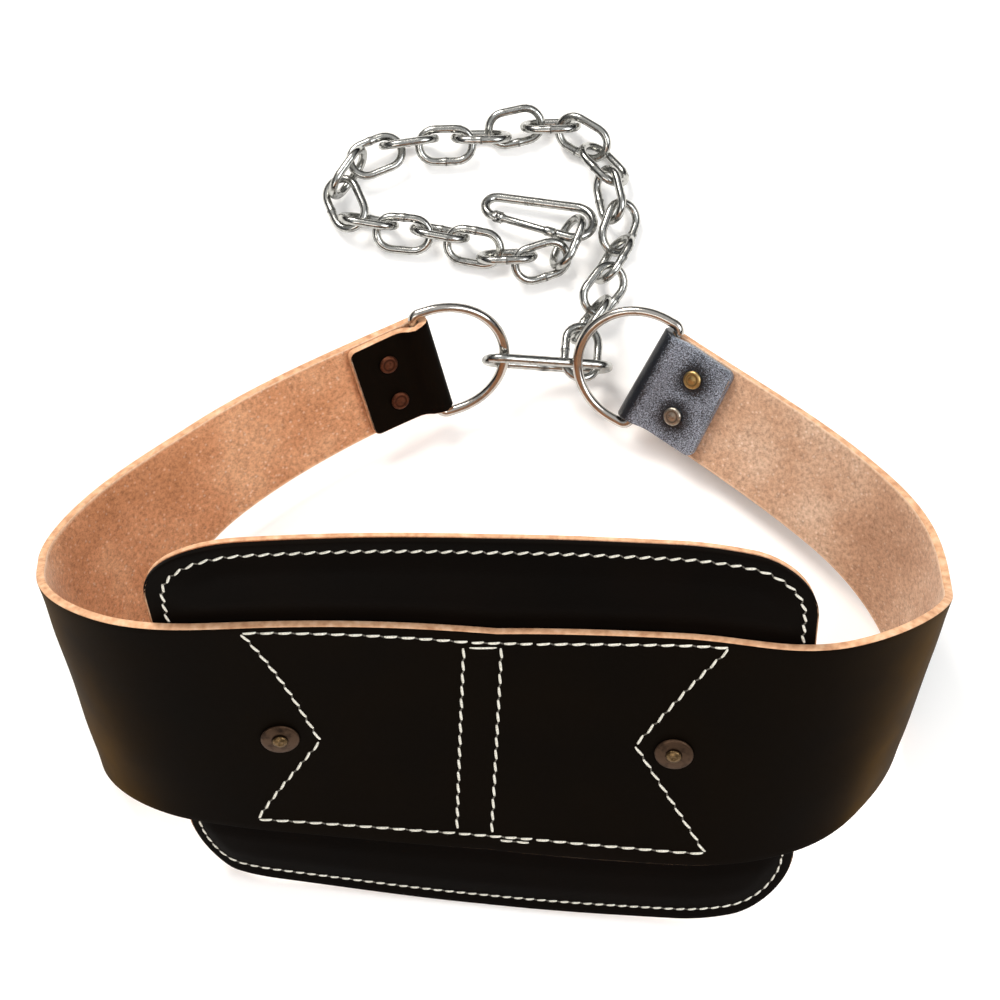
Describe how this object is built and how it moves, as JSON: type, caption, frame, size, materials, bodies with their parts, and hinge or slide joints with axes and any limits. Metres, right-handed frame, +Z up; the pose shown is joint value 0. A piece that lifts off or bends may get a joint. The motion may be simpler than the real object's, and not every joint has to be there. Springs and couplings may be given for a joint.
{
  "type": "dip belt",
  "caption": "Tapering leather dip belt on a wide curved back pad, with D rings at its folded ends, a steel chain and a snap hook.",
  "frame": {"origin": "middle of the box round the belt, on the surface that it rests on", "axes": "+X from the left arm to the right arm as the pad is seen, +Y from the pad to the chain, +Z up"},
  "size_m": [0.4094, 0.3982, 0.2015],
  "materials": {
    "black_leather": "smooth black leather with a soft sheen and brown worn bends",
    "tan_leather": "matt tan flesh side of leather",
    "zinc_steel": "bright zinc plated steel",
    "nickel_steel": "polished nickel plated steel",
    "dark_bronze": "darkened bronze",
    "aged_copper": "dark aged copper",
    "worn_brass": "worn brass"
  },
  "bodies": {
    "belt": {"main_strap": "black_leather", "pad_face": "black_leather", "pad_lining": "tan_leather", "left_burr_washer": "dark_bronze", "left_burr_rivet": "dark_bronze", "right_burr_washer": "dark_bronze", "right_burr_rivet": "dark_bronze", "left_upper_end_rivet": "aged_copper", "left_lower_end_rivet": "aged_copper", "right_upper_end_rivet": "worn_brass", "right_lower_end_rivet": "worn_brass", "left_d_ring": "nickel_steel", "right_d_ring": "nickel_steel", "connecting_link": "zinc_steel", "chain_link_01": "zinc_steel", "chain_link_02": "zinc_steel", "chain_link_03": "zinc_steel", "chain_link_04": "zinc_steel", "chain_link_05": "zinc_steel", "chain_link_06": "zinc_steel", "chain_link_07": "zinc_steel", "chain_link_08": "zinc_steel", "chain_link_09": "zinc_steel", "chain_link_10": "zinc_steel", "chain_link_11": "zinc_steel", "chain_link_12": "zinc_steel", "chain_link_13": "zinc_steel", "chain_link_14": "zinc_steel", "chain_link_15": "zinc_steel", "chain_link_16": "zinc_steel", "chain_link_17": "zinc_steel", "chain_link_18": "zinc_steel", "chain_link_19": "zinc_steel", "chain_link_20": "zinc_steel", "chain_link_21": "zinc_steel", "chain_link_22": "zinc_steel", "chain_link_23": "zinc_steel", "carabiner_body": "zinc_steel", "carabiner_pin": "zinc_steel"},
    "hook_gate": {"carabiner_gate": "zinc_steel"}
  },
  "joints": [
    {"name": "gate_hinge", "type": "hinge", "parent": "belt", "child": "hook_gate", "pos_m": [-0.01328, 0.14111, 0.00883], "axis": [-0.0103, 0.2589, 0.9659], "range_deg": [0, 24], "stiffness_Nm_per_rad": 0.03}
  ]
}
